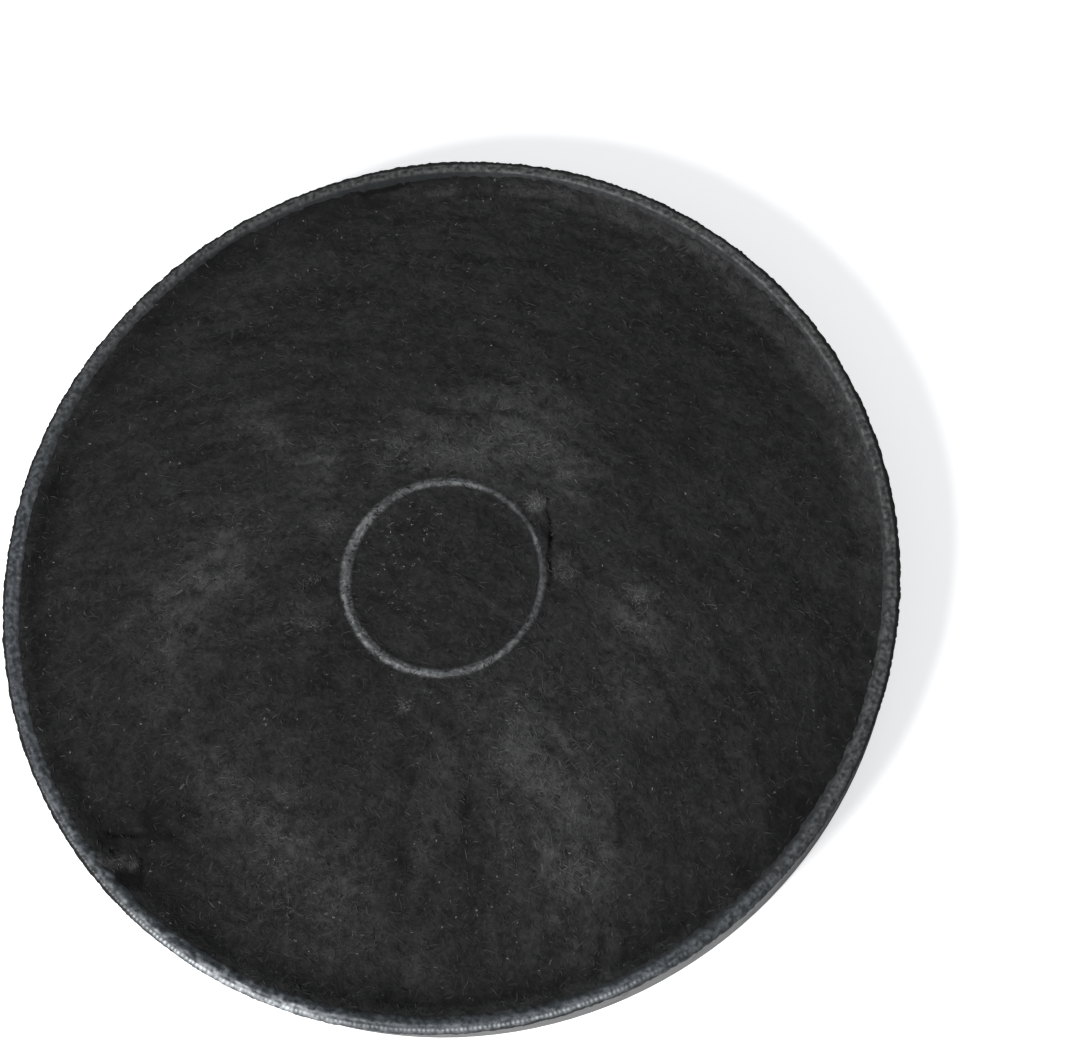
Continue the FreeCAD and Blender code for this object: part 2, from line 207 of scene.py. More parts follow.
def worn_share(x, y):
    """How light the felt is, about 0 to 1: wear and lint, painted shade beside the band and in the creases,
    and painted light in the band's shadow and on its sunny slope.
    """
    total = np.zeros_like(x)
    for px, py, length, width, turn, strength in LIGHT_AND_DARK_PATCHES:
        c, s = math.cos(math.radians(turn)), math.sin(math.radians(turn))
        along, across = ((x - px) * c + (y - py) * s) / length, (-(x - px) * s + (y - py) * c) / width
        total += strength * np.exp(-(along ** 2 + across ** 2))
    away, turn = swirl_place(x, y)
    streaks = noise(away / 2.2, turn * 90 / 14, 1, 24)
    mottle = 0.5 * noise(x, y, 5, 21) + 0.5 * noise(x, y, 2.4, 22)
    ragged = 0.4 + 0.85 * smooth(0.5 + mottle + 0.4 * streaks)
    radius = np.hypot(x, y)
    turn_here = np.arctan2(y, x)
    # Painted shade: the felt is darker towards the band, least on the sunny upper right.
    edge = smooth((radius - 102) / 13) * (0.5 + 0.5 * smooth(0.9 - np.cos(turn_here - math.radians(38))))
    # Painted light: the felt is lighter where the band's shadow falls on the lower left.
    painted_fill = smooth((np.cos(turn_here - math.radians(225)) + 0.2) / 0.6) * smooth((radius - 112.5) / 2)
    # Painted light on the sunny slope inside the band at the upper right.
    sunny = smooth((np.cos(turn_here - math.radians(35)) - 0.62) / 0.38)
    slope = smooth((radius - 107) / 5)
    cloud = 0.07 * noise(x, y, 12, 23) + 0.08 * noise(x, y, 4, 25) + 0.06 * streaks
    return total * ragged + cloud - 0.3 * edge + 0.34 * painted_fill + sunny * slope * (0.25 + 0.4 * ragged)


# Creases in the felt: start x, y, end x, y, depth, half width
CREASES = (
    (28.3, 21.5, 28.6, 10, 0.5, 0.5),
    (28.6, 10, 28.6, -3, 0.65, 0.5),
    (-86.9, -66.8, -80.7, -67.3, 0.9, 0.6),
    (-86.5, -71.4, -85.0, -71.8, 0.6, 0.5),
    (-78.8, -73.5, -78.6, -81, 0.3, 0.8),
    (-23, 112.6, -10, 115.0, 0.6, 0.8),
    (18, 109, 33, 108.5, 0.45, 0.8),
    (33, 108.5, 50, 103.5, 0.45, 0.8),
    (-2, 111.5, 14, 110.5, 0.35, 0.9),
)

# Bulges in the felt: x, y, half length, half width, rise
BULGES = (
    (25.6, 19, 2.2, 3.2, 0.4),
    (31.8, 1, 2.4, 7, 0.45),
    (-83.6, -74, 4.0, 2.4, 0.7),
    (24, 111.5, 12, 1.8, 0.45),
)


def segment_distance(x, y, x0, y0, x1, y1):
    """Distance from a straight line between two points."""
    dx, dy = x1 - x0, y1 - y0
    share = np.clip(((x - x0) * dx + (y - y0) * dy) / (dx * dx + dy * dy), 0, 1)
    return np.hypot(x - x0 - share * dx, y - y0 - share * dy)


def felt_profile(radius):
    """Level of the felt by its distance from the axis, with the corners rounded."""
    ring_inner, ring_outer = RING_RADIUS - RING_HALF_WIDTH, RING_RADIUS + RING_HALF_WIDTH
    slope_foot = BAND_INNER_RADIUS - SLOPE_WIDTH
    radii = (0, HUB_RADIUS - RING_SLOPE, ring_inner, RING_RADIUS, ring_outer, ring_outer + RING_SLOPE,
             slope_foot, BAND_INNER_RADIUS - SLOPE_WIDTH / 2, BAND_INNER_RADIUS, RIM_RADIUS)
    levels = (CENTRE_TOP, CENTRE_TOP, RING_FOOT, RING_CREST, RING_FOOT, FACE_TOP, FACE_TOP,
              SLOPE_MIDDLE_LEVEL + FLUFF / 2, BAND_FOOT_LEVEL + FLUFF, BAND_FOOT_LEVEL + FLUFF)
    near_ring = smooth(1 - (np.abs(radius - RING_RADIUS) - 1) / 2)
    reach = 0.25 + 1.2 * (1 - near_ring)
    return np.mean([np.interp(radius + reach * k, radii, levels) for k in (-1, -0.5, 0, 0.5, 1)], axis=0)


def felt_level(x, y):
    """Level of the felt's face, with its lumps, combed ridges and creases."""
    radius = np.hypot(x, y)
    away, turn = swirl_place(x, y)
    lumps = 0.34 * noise(x, y, 24, 1) + 0.24 * noise(x, y, 10, 2) + 0.16 * noise(x, y, 4.5, 3)
    combed = 0.16 * noise(away / 1.8, turn * 90 / 6, 1, 4) * (0.7 + 0.3 * noise(x, y, 20, 5))
    combed += 0.2 * noise(away / 5, turn * 90 / 26, 1, 6)
    fans = 0.4 * noise(x / 4.5, y / 30, 1, 7) * np.exp(-(((x - 16) / 36) ** 2 + ((y + 66) / 30) ** 2))
    crumpled = smooth((radius - 104) / 6) * smooth((y + x) / 60)
    grain = 0.1 * noise(x, y, 2.1, 8) + 0.3 * noise(x, y, 2.6, 10) * crumpled
    calm = smooth((np.abs(radius - RING_RADIUS) - 0.9) / 3.5) * (1 - 0.6 * smooth((radius - 110) / 6))
    inner = np.where(radius < RING_RADIUS, 0.55, 1.0)
    level = felt_profile(radius) + (lumps + combed + fans + grain) * calm * inner
    for x0, y0, x1, y1, depth, width in CREASES:
        away_line = segment_distance(x + 0.8 * noise(x, y, 3, 9), y, x0, y0, x1, y1)
        level -= depth * np.exp(-(away_line / width) ** 2)
    for bx, by, rx, ry, rise in BULGES:
        level += rise * np.exp(-(((x - bx) / rx) ** 2 + ((y - by) / ry) ** 2))
    return level


def make_piece(name, points, faces, material, smooth_shading=True, **values):
    """A mesh in metres from points in millimetres, with a number at each point for each given name."""
    mesh = bpy.data.meshes.new(name)
    mesh.from_pydata((np.asarray(points) * MM).tolist(), [], [list(map(int, face)) for face in faces])
    mesh.polygons.foreach_set("use_smooth", [smooth_shading] * len(mesh.polygons))
    for key, numbers in values.items():
        data = mesh.attributes.new(key, "FLOAT", "POINT").data
        data.foreach_set("value", np.asarray(numbers, np.float32))
    mesh.materials.append(material)
    mesh.update()
    piece = bpy.data.objects.new(name, mesh)
    bpy.context.scene.collection.objects.link(piece)
    return piece


def polar(radius, angles, level):
    """Points round the axis, from a radius and a level that may differ from point to point."""
    radius, level = np.broadcast_to(radius, angles.shape), np.broadcast_to(level, angles.shape)
    return np.column_stack([radius * np.cos(angles), radius * np.sin(angles), level])


def even_angles(count):
    return np.arange(count) * 2 * math.pi / count


def stitch(first, first_count, second, second_count):
    """Triangles between two even loops, each given by its first point's number and its count."""
    faces, a, b = [], 0, 0
    while a < first_count or b < second_count:
        here = first + a % first_count, second + b % second_count
        if b == second_count or (a < first_count and (a + 1) * second_count <= (b + 1) * first_count):
            faces.append((here[0], here[1], first + (a + 1) % first_count))
            a += 1
        else:
            faces.append((here[0], here[1], second + (b + 1) % second_count))
            b += 1
    return faces


def disc_mesh(radii, spacing, fine=(0, 0), fine_spacing=1.0):
    """Points and triangles of a flat disc or ring, as loops at the radii with points a spacing apart."""
    points, faces, loops = [], [], []
    start = 0
    for radius in radii:
        gap = fine_spacing if fine[0] < radius < fine[1] else spacing
        count = 1 if radius == 0 else max(6, round(2 * math.pi * radius / gap))
        points.append(polar(radius, even_angles(count), 0.0))
        loops.append((start, count))
        start += count
    for (a, na), (b, nb) in zip(loops, loops[1:]):
        faces += stitch(a, na, b, nb)
    return np.vstack(points), faces, loops


# Materials


def add_node(tree, kind, settings=(), **inputs):
    """Adds a node, sets its own settings, and links or sets the named inputs."""
    node = tree.nodes.new(kind)
    for key, value in dict(settings).items():
        setattr(node, key, value)
    for key, value in inputs.items():
        feed(tree, node.inputs[key.replace("_", " ")], value)
    return node


def feed(tree, socket, value):
    """Links another node's socket, or sets a plain value."""
    if isinstance(value, bpy.types.NodeSocket):
        tree.links.new(value, socket)
    else:
        socket.default_value = value


def math_node(tree, operation, *values, clamp=False):
    node = add_node(tree, "ShaderNodeMath", {"operation": operation, "use_clamp": clamp})
    for socket, value in zip(node.inputs, values):
        feed(tree, socket, value)
    return node.outputs[0]


def plus(tree, first, second, clamp=False):
    return math_node(tree, "ADD", first, second, clamp=clamp)


def times(tree, first, second):
    return math_node(tree, "MULTIPLY", first, second)


def vector_node(tree, operation, *values, output=0):
    node = add_node(tree, "ShaderNodeVectorMath", {"operation": operation})
    sockets = list(node.inputs)
    if operation == "SCALE":
        sockets[1] = node.inputs["Scale"]
    for socket, value in zip(sockets, values):
        feed(tree, socket, value)
    return node.outputs[output]


def join(tree, x, y, z):
    """A vector from three values."""
    return add_node(tree, "ShaderNodeCombineXYZ", X=x, Y=y, Z=z).outputs[0]


def noise_node(tree, place, size_mm, detail=2.0, distortion=0.0):
    return add_node(tree, "ShaderNodeTexNoise", Vector=place, Scale=1 / size_mm, Detail=detail,
                    Distortion=distortion).outputs["Fac"]


def ramp(tree, value, low, high):
    """Stretches a value from low..high to 0..1, softly."""
    return add_node(tree, "ShaderNodeMapRange", {"interpolation_type": "SMOOTHSTEP"}, Value=value,
                    From_Min=low, From_Max=high).outputs["Result"]


def mix_colour(tree, share, first, second):
    node = add_node(tree, "ShaderNodeMix", {"data_type": "RGBA"})
    feed(tree, node.inputs["Factor"], share)
    colours = [socket for socket in node.inputs if socket.type == "RGBA"]
    feed(tree, colours[0], first)
    feed(tree, colours[1], second)
    return [socket for socket in node.outputs if socket.type == "RGBA"][0]


def group(name, inputs, outputs, build):
    """A shader node group with named inputs (name, kind, default) and outputs (name, kind)."""
    tree = bpy.data.node_groups.new(name, "ShaderNodeTree")
    for key, kind, default in inputs:
        socket = tree.interface.new_socket(key, in_out="INPUT", socket_type=kind)
        if default is not None:
            socket.default_value = default
    for key, kind in outputs:
        tree.interface.new_socket(key, in_out="OUTPUT", socket_type=kind)
    source, sink = tree.nodes.new("NodeGroupInput"), tree.nodes.new("NodeGroupOutput")
    for key, value in build(tree, source.outputs).items():
        tree.links.new(value, sink.inputs[key])
    return tree


def place_group(tree, made, **inputs):
    node = tree.nodes.new("ShaderNodeGroup")
    node.node_tree = made
    for key, value in inputs.items():
        feed(tree, node.inputs[key.replace("_", " ")], value)
    return node.outputs


FLOAT, VECTOR = "NodeSocketFloat", "NodeSocketVector"


def build_strands(tree, given):
    """Matted strands: most in arcs round the swirl, some crossing them."""
    place, across, along = given["Place"], given["Across"], given["Along"]
    wobble = add_node(tree, "ShaderNodeTexNoise", Vector=place, Scale=0.22, Detail=2.0).outputs["Color"]
    shift = vector_node(tree, "SCALE", vector_node(tree, "SUBTRACT", wobble, (0.5, 0.5, 0.5)), 5.0)
    moved = vector_node(tree, "MULTIPLY", vector_node(tree, "ADD", place, shift), (1, 1, 0))
    offset = vector_node(tree, "SUBTRACT", moved, (SWIRL[0], SWIRL[1], 0))
    away = vector_node(tree, "LENGTH", offset, output=1)
    heading = vector_node(tree, "NORMALIZE", offset)
    turns = vector_node(tree, "SCALE", heading, along)
    split = add_node(tree, "ShaderNodeSeparateXYZ", Vector=turns).outputs
    arcs = join(tree, math_node(tree, "DIVIDE", away, across), split[0], split[1])
    total = noise_node(tree, arcs, 1.0, detail=1.0)
    broad = noise_node(tree, vector_node(tree, "MULTIPLY", arcs, (0.3, 0.16, 0.16)), 1.0)
    crossings = []
    for degrees, length in ((35, 2.6), (105, 2.0), (160, 2.8)):
        turned = add_node(tree, "ShaderNodeMapping", Vector=moved, Rotation=(0, 0, math.radians(degrees)))
        thin = vector_node(tree, "MULTIPLY", turned.outputs[0], (1 / length, 1.0, 1.0))
        thinner = vector_node(tree, "DIVIDE", thin, join(tree, 1.0, across, 1.0))
        crossings.append(noise_node(tree, thinner, 1.0, detail=1.0))
    crossed = math_node(tree, "MAXIMUM", crossings[1], crossings[2])
    crossed = math_node(tree, "MAXIMUM", crossings[0], crossed)
    mat = plus(tree, times(tree, total, 0.5), times(tree, crossed, 0.5))
    return {"Strands": ramp(tree, mat, 0.42, 0.74), "Streaks": ramp(tree, broad, 0.32, 0.68), "Height": mat}


STRANDS = group("matted strands", [("Place", VECTOR, None), ("Across", FLOAT, 0.5), ("Along", FLOAT, 24.0)],
                [("Strands", FLOAT), ("Streaks", FLOAT), ("Height", FLOAT)], build_strands)


def build_grain(tree, given):
    """Moulded grain with scuffs over it."""
    place = given["Place"]
    fine = noise_node(tree, place, 0.35, detail=3.0)
    scuffs = ramp(tree, noise_node(tree, place, 6.0, detail=6.0, distortion=0.6), 0.52, 0.72)
    cloud = noise_node(tree, place, 22.0, detail=3.0)
    return {"Grain": fine, "Scuffs": scuffs, "Cloud": cloud}


GRAIN = group("moulded grain", [("Place", VECTOR, None)],
              [("Grain", FLOAT), ("Scuffs", FLOAT), ("Cloud", FLOAT)], build_grain)


def start_material(name):
    """A material with its Principled shader, its output and the place on the piece in millimetres."""
    material = bpy.data.materials.new(name)
    material.use_nodes = True
    tree = material.node_tree
    tree.nodes.clear()
    shader = tree.nodes.new("ShaderNodeBsdfPrincipled")
    output = tree.nodes.new("ShaderNodeOutputMaterial")
    tree.links.new(shader.outputs[0], output.inputs[0])
    place = vector_node(tree, "SCALE", tree.nodes.new("ShaderNodeTexCoord").outputs["Object"], 1 / MM)
    return material, tree, shader, place


def attribute(tree, name):
    return add_node(tree, "ShaderNodeAttribute", {"attribute_name": name}).outputs["Fac"]


def bump(tree, shader, height, distance_mm, strength=1.0):
    node = add_node(tree, "ShaderNodeBump", Height=height, Distance=distance_mm * MM, Strength=strength)
    tree.links.new(node.outputs[0], shader.inputs["Normal"])


def felt_material(name, dark, light, worn_name=None, melted_name=None):
    """Matted black felt, lighter by its share of wear and painted light, and smooth and grey on the weld
    ring, with a painted highlight where the ring faces the lamp.
    """
    material, tree, shader, place = start_material(name)
    made = place_group(tree, STRANDS, Place=place, Across=1.25, Along=46.0)
    lumps = ramp(tree, noise_node(tree, place, 1.8, detail=3.0), 0.32, 0.68)
    pits = ramp(tree, noise_node(tree, place, 1.0, detail=2.0), 0.27, 0.36)
    share = plus(tree, times(tree, made["Strands"], 0.42), 0.1)
    share = plus(tree, share, times(tree, made["Streaks"], 0.3))
    share = plus(tree, share, times(tree, lumps, 0.2))
    # Lighter by wear and painted light, darker by painted shade beside the band and in the creases.
    if worn_name:
        worn = attribute(tree, worn_name)
        patches = times(tree, worn, plus(tree, times(tree, lumps, 0.9), 0.1))
        share = times(tree, share, plus(tree, 0.55, times(tree, worn, 0.92)))
        share = plus(tree, share, times(tree, patches, 0.3), clamp=True)
    share = times(tree, share, plus(tree, times(tree, pits, 0.85), 0.15))
    colour = mix_colour(tree, share, dark, light)
    height = plus(tree, made["Height"], times(tree, lumps, 0.2))
    rough = 0.95
    if melted_name:
        melted = attribute(tree, melted_name)
        beads = ramp(tree, noise_node(tree, place, 1.3, detail=4.0), 0.35, 0.75)
        melted_colour = mix_colour(tree, beads, MELTED_DARK, MELTED_LIGHT)
        colour = mix_colour(tree, melted, colour, melted_colour)
        rough = math_node(tree, "SUBTRACT", 0.95, times(tree, melted, 0.4))
        height = plus(tree, height, times(tree, beads, times(tree, melted, 0.3)))
    feed(tree, shader.inputs["Base Color"], colour)
    feed(tree, shader.inputs["Roughness"], rough)
    shader.inputs["Specular IOR Level"].default_value = 0.06
    bump(tree, shader, height, 0.45)
    return material


def fibre_material():
    """Single fibres, each with its own tone."""
    material, tree, shader, _ = start_material("felt_fibre")
    colour = mix_colour(tree, attribute(tree, "tone"), PIT_BLACK, FIBRE_LIGHT)
    feed(tree, shader.inputs["Base Color"], colour)
    shader.inputs["Roughness"].default_value = 0.8
    shader.inputs["Specular IOR Level"].default_value = 0.1
    return material


def band_material():
    """Plastic pressed by the welding tool: dull grey, with a painted highlight toward the lamp and painted
    shade, black at its torn edge.
    """
    material, tree, shader, place = start_material("welded_plastic")
    made = place_group(tree, GRAIN, Place=place)
    patches = ramp(tree, noise_node(tree, place, 1.3, detail=4.0), 0.34, 0.68)
    plain = mix_colour(tree, patches, BAND_PLAIN_DARK, BAND_PLAIN_LIGHT)
    bluish = mix_colour(tree, patches, BAND_BLUISH_DARK, BAND_BLUISH_LIGHT)
    colour = mix_colour(tree, attribute(tree, "cool"), plain, bluish)
    # Painted highlight: the band's tone lightens it toward a near white.
    colour = mix_colour(tree, attribute(tree, "tone"), colour, BAND_HIGHLIGHT)
    shade, burr = attribute(tree, "shade"), attribute(tree, "burr")
    colour = mix_colour(tree, shade, colour, BAND_SHADE)
    colour = mix_colour(tree, burr, colour, PIT_BLACK)
    feed(tree, shader.inputs["Base Color"], colour)
    shader.inputs["Specular IOR Level"].default_value = 0.22
    dull = math_node(tree, "MAXIMUM", burr, shade)
    feed(tree, shader.inputs["Roughness"], plus(tree, 0.47, times(tree, dull, 0.5)))
    bump(tree, shader, made["Grain"], 0.11)
    return material


def tray_material():
    """Black moulded plastic with a fine grain, rubbed in places."""
    material, tree, shader, place = start_material("tray_plastic")
    made = place_group(tree, GRAIN, Place=place)
    colour = mix_colour(tree, made["Scuffs"], TRAY_BLACK, TRAY_RUBBED)
    colour = mix_colour(tree, times(tree, made["Cloud"], 0.5), colour, TRAY_CLOUD)
    shader.inputs["Specular IOR Level"].default_value = 0.35
    feed(tree, shader.inputs["Base Color"], colour)
    rough = add_node(tree, "ShaderNodeMapRange", Value=made["Scuffs"], To_Min=0.4, To_Max=0.5)
    feed(tree, shader.inputs["Roughness"], rough.outputs["Result"])
    bump(tree, shader, made["Grain"], 0.05)
    return material


def granule_material():
    """Broken carbon granules."""
    material, tree, shader, place = start_material("carbon_granules")
    cells = add_node(tree, "ShaderNodeTexVoronoi", Vector=place, Scale=1 / 2.4)
    colour = mix_colour(tree, cells.outputs["Distance"], GRANULE_FACE, GRANULE_GAP)
    feed(tree, shader.inputs["Base Color"], colour)
    shader.inputs["Roughness"].default_value = 0.55
    bump(tree, shader, cells.outputs["Distance"], -1.0)
    return material


# Pieces


def spoke_angles(radius):
    """Five angles a sector: the edge of a spoke, three between, and the edge of the next spoke."""
    lean, step = math.asin(BAR_WIDTH / 2 / radius), 2 * math.pi / SPOKES
    sector = [lean + (step - 2 * lean) * k / 4 for k in range(5)]
    return (np.arange(SPOKES)[:, None] * step + np.array(sector)).ravel()


def plate_outline(angles):
    """The notched bore, as angles and radii. The nearest angles move to the notches' corners."""
    corner_out = math.atan2(NOTCH_WIDTH / 2, BORE_RADIUS + NOTCH_REACH)
    corner_in = math.asin(NOTCH_WIDTH / 2 / BORE_RADIUS)
    step = 2 * math.pi / NOTCHES
    centre = np.round(angles / step) * step
    local = angles - centre
    for corner in (corner_out, corner_in):
        for way in (-1, 1):
            for k in range(NOTCHES + 1):
                nearest = np.argmin(np.abs(angles - k * step - way * corner))
                if abs(angles[nearest] - k * step - way * corner) < math.radians(1.2):
                    local[nearest] = way * corner
    angles = centre + local
    radii = np.full_like(angles, BORE_RADIUS)
    size = np.abs(local)
    end = size <= corner_out + 1e-9
    radii[end] = (BORE_RADIUS + NOTCH_REACH) / np.cos(local[end])
    flank = (size > corner_out + 1e-9) & (size < corner_in - 1e-9)
    radii[flank] = NOTCH_WIDTH / 2 / np.sin(size[flank])
    return angles, radii


def box_shell(points, faces, inner, outer, width, bottom, top, turn):
    """Adds a small closed block, long outwards from the axis."""
    start = sum(len(p) for p in points)
    c, s = math.cos(turn), math.sin(turn)
    corners = [(r * c - w * s, r * s + w * c, z) for z in (bottom, top) for r in (inner, outer)
               for w in (-width / 2, width / 2)]
    points.append(np.array(corners))
    for face in ((0, 1, 3, 2), (4, 6, 7, 5), (0, 4, 5, 1), (2, 3, 7, 6), (0, 2, 6, 4), (1, 5, 7, 3)):
        faces.append(tuple(start + k for k in face))


def bevelled(piece, width, segments):
    """Rounds the sharp edges of a piece for good."""
    modifier = piece.modifiers.new("rounding", "BEVEL")
    modifier.width, modifier.segments = width * MM, segments
    modifier.limit_method, modifier.angle_limit = "ANGLE", math.radians(40)
    made = bpy.data.meshes.new_from_object(piece.evaluated_get(bpy.context.evaluated_depsgraph_get()))
    piece.modifiers.clear()
    old, piece.data = piece.data, made
    bpy.data.meshes.remove(old)
    return piece


def make_tray():
    """Side wall, grille floor, hub tube and bayonet plate, as one closed shell, and the three stops."""
    columns = 5 * SPOKES
    points, faces, count = [], [], 0
    pitch = (BORDER_RADIUS - COLLAR_RADIUS) / ROWS
    grid = [COLLAR_RADIUS]
    for row in range(ROWS):
        inner, outer = COLLAR_RADIUS + row * pitch, COLLAR_RADIUS + (row + 1) * pitch
        grid += [inner + BAR_WIDTH / 2, outer - BAR_WIDTH / 2]
    grid.append(BORDER_RADIUS)

    def loop(radius, level, angles):
        nonlocal count
        points.append(polar(radius, angles, level))
        count += columns
        return count - columns

    def band(a, b, wanted=lambda column: True):
        for k in range(columns):
            if wanted(k % 5):
                n = (k + 1) % columns
                faces.append((a + k, a + n, b + n, b + k))

    low = [loop(r, GRILLE_BOTTOM, spoke_angles(r)) for r in grid]
    high = [loop(r, GRILLE_TOP, spoke_angles(r)) for r in grid]
    on_spoke, off_spoke = (lambda column: column == 4), (lambda column: column < 4)
    for j in range(len(grid) - 1):
        cells = j % 2 == 1
        for level in (low, high):
            band(level[j], level[j + 1], on_spoke if cells else (lambda column: True))
        if cells:
            band(low[j], high[j], off_spoke)
            band(low[j + 1], high[j + 1], off_spoke)
            for k in range(columns):
                if k % 5 in (0, 4):
                    faces.append((low[j] + k, low[j + 1] + k, high[j + 1] + k, high[j] + k))

    even = even_angles(columns)
    hole_angles, hole_radii = plate_outline(even)
    outside = [loop(BORDER_RADIUS, 0, spoke_angles(BORDER_RADIUS))]
    outside += [loop(r, z, even) for r, z in (
        (SKIRT_FOOT_RADIUS - FOOT_BEVEL, 0), (SKIRT_FOOT_RADIUS, FOOT_BEVEL),
        (SKIRT_RADIUS, BAND_UNDERSIDE), (SKIRT_RADIUS, WALL_TOP),
        (WALL_RADIUS, WALL_TOP), (WALL_RADIUS, GRILLE_TOP))]
    inside = [loop(COLLAR_RADIUS, 0, spoke_angles(COLLAR_RADIUS)), loop(HUB_RADIUS, 0, even),
              loop(HUB_RADIUS, PLATE_BOTTOM, even), loop(hole_radii, PLATE_BOTTOM, hole_angles),
              loop(hole_radii, PLATE_TOP, hole_angles), loop(HUB_RADIUS, PLATE_TOP, even),
              loop(HUB_RADIUS, HUB_TOP, even), loop(HUB_OUTER_RADIUS, HUB_TOP, even),
              loop(HUB_OUTER_RADIUS, GRILLE_TOP, even)]
    for chain in ([low[-1], *outside, high[-1]], [low[0], *inside, high[0]]):
        for a, b in zip(chain, chain[1:]):
            band(a, b)
    for k in range(NOTCHES):
        box_shell(points, faces, STOP_INNER_RADIUS, RING_RADIUS, STOP_THICKNESS, PLATE_TOP - STOP_ROOT,
                  PLATE_TOP + STOP_HEIGHT, math.pi + k * 2 * math.pi / NOTCHES)
    tray = make_piece("tray", np.vstack(points), faces, tray_material(), smooth_shading=False)
    turn_outwards(tray)
    bevelled(tray, EDGE_ROUNDING, 2)
    soften(tray, 35)
    return tray


def turn_outwards(piece):
    """Turns every face of a closed piece outwards."""
    work = bmesh.new()
    work.from_mesh(piece.data)
    bmesh.ops.recalc_face_normals(work, faces=work.faces)
    work.to_mesh(piece.data)
    work.free()


def soften(piece, degrees):
    """Smooth shading, apart from the edges sharper than this."""
    mesh = piece.data
    mesh.polygons.foreach_set("use_smooth", [True] * len(mesh.polygons))
    mesh.set_sharp_from_angle(angle=math.radians(degrees))


# Section of the weld band, from its underside round the edge to its foot in the felt: out from the rim's
# radius, and up from its top
BAND_SECTION = (
    (-1.9, -2.5), (-0.1, -2.8), (0.0, -2.55), (0.0, -1.2), (-0.1, -0.85), (-0.3, -0.56), (-0.52, -0.36),
    (-0.75, -0.22), (-1.0, -0.15), (-1.25, -0.15), (-1.55, -0.2), (-1.85, -0.15), (-2.15, -0.08),
    (-2.45, -0.1), (-2.75, -0.17), (-3.05, -0.28), (-3.35, -0.44), (-3.65, -0.68), (-4.0, -1.0),
    (-4.4, -1.4), (-4.6, -2.1), (-3.4, -2.4))
BEADS, STEPS_A_BEAD = 628, 5
BEAD_ROW, BEAD_ROW_HALF_WIDTH = -0.85, 0.38
BAND_HIGHEST = 0.2


def side(angles, degrees, width):
    """1 on the side of the rim at this angle, falling to 0 over the width in degrees."""
    away = np.abs((np.degrees(angles) - degrees + 180) % 360 - 180)
    return smooth(1.5 - away / width)


def rim_noise(angles, turns, seed, out=0, across=1):
    """Soft noise that closes on itself round the rim: 256 lumps a turn, each so wide across."""
    return noise(angles / (2 * math.pi) * 256 * turns, out / across + 40, 1, seed)


def make_weld_band():
    """The band pressed by the welding tool: a rough dark edge, a row of beads, and a slope to the felt."""
    out, up = (np.array(BAND_SECTION)[:, k, None] for k in (0, 1))
    angles = even_angles(BEADS * STEPS_A_BEAD)[None, :]
    bead = np.abs(np.sin(angles * BEADS / 2 + 0.7 * rim_noise(angles, 1, 31))) ** 0.8
    bead_row = np.exp(-((out - BEAD_ROW) / BEAD_ROW_HALF_WIDTH) ** 2)
    radius, level = band_shape(angles, out, up, bead, bead_row)
    finish = band_finish(angles, out, bead, bead_row)

    rows, count = level.shape
    points = np.stack([radius * np.cos(angles), radius * np.sin(angles),
                       HEIGHT + np.minimum(level, BAND_HIGHEST)], axis=2).reshape(-1, 3)
    here = np.arange(count)
    after = (here + 1) % count
    faces = []
    for row in range(rows):
        a, b = row * count, (row + 1) % rows * count
        faces += np.column_stack([a + here, a + after, b + after, b + here]).tolist()
    values = {key: np.clip(np.broadcast_to(value, level.shape), 0, 1).ravel()
              for key, value in finish.items()}
    piece = make_piece("weld_band", points, faces, band_material(), **values)
    turn_outwards(piece)
    return piece


def band_shape(angles, out, up, bead, bead_row):
    """Radius and level of the band's points: beads, lumps, and a torn outer edge."""
    near, ripple = partial(side, angles), partial(rim_noise, angles)
    left, bottom = near(165, 75), near(246, 38)
    on_top = smooth((up + 2.2) / 0.6)
    bead_height = 0.12 + 0.04 * left + 0.2 * bottom + 0.1 * near(222, 20)
    bead_height = bead_height * (0.7 + 0.6 * ripple(1, 32))
    lumps = 0.12 * ripple(2, 34, out, 0.8) + 0.1 * ripple(1, 35, out, 1.1)
    lumps = lumps + 0.07 * ripple(4, 36, out, 0.55)
    level = up + on_top * (bead_height * bead_row * (bead - 0.55) + lumps)
    level = level - 0.2 * bottom * np.clip((out + 1.9) / 1.6, 0, 1) * on_top
    torn = 0.08 + 0.18 * left + 0.16 * ripple(1, 37) + 0.18 * ripple(4, 38)
    radius = RIM_RADIUS + out + smooth((out + 0.5) / 0.4) * torn * (1 - 0.35 * bottom)
    radius = radius + smooth((-out - 3.2) / 0.6) * 0.25 * ripple(2, 39)
    return radius, level


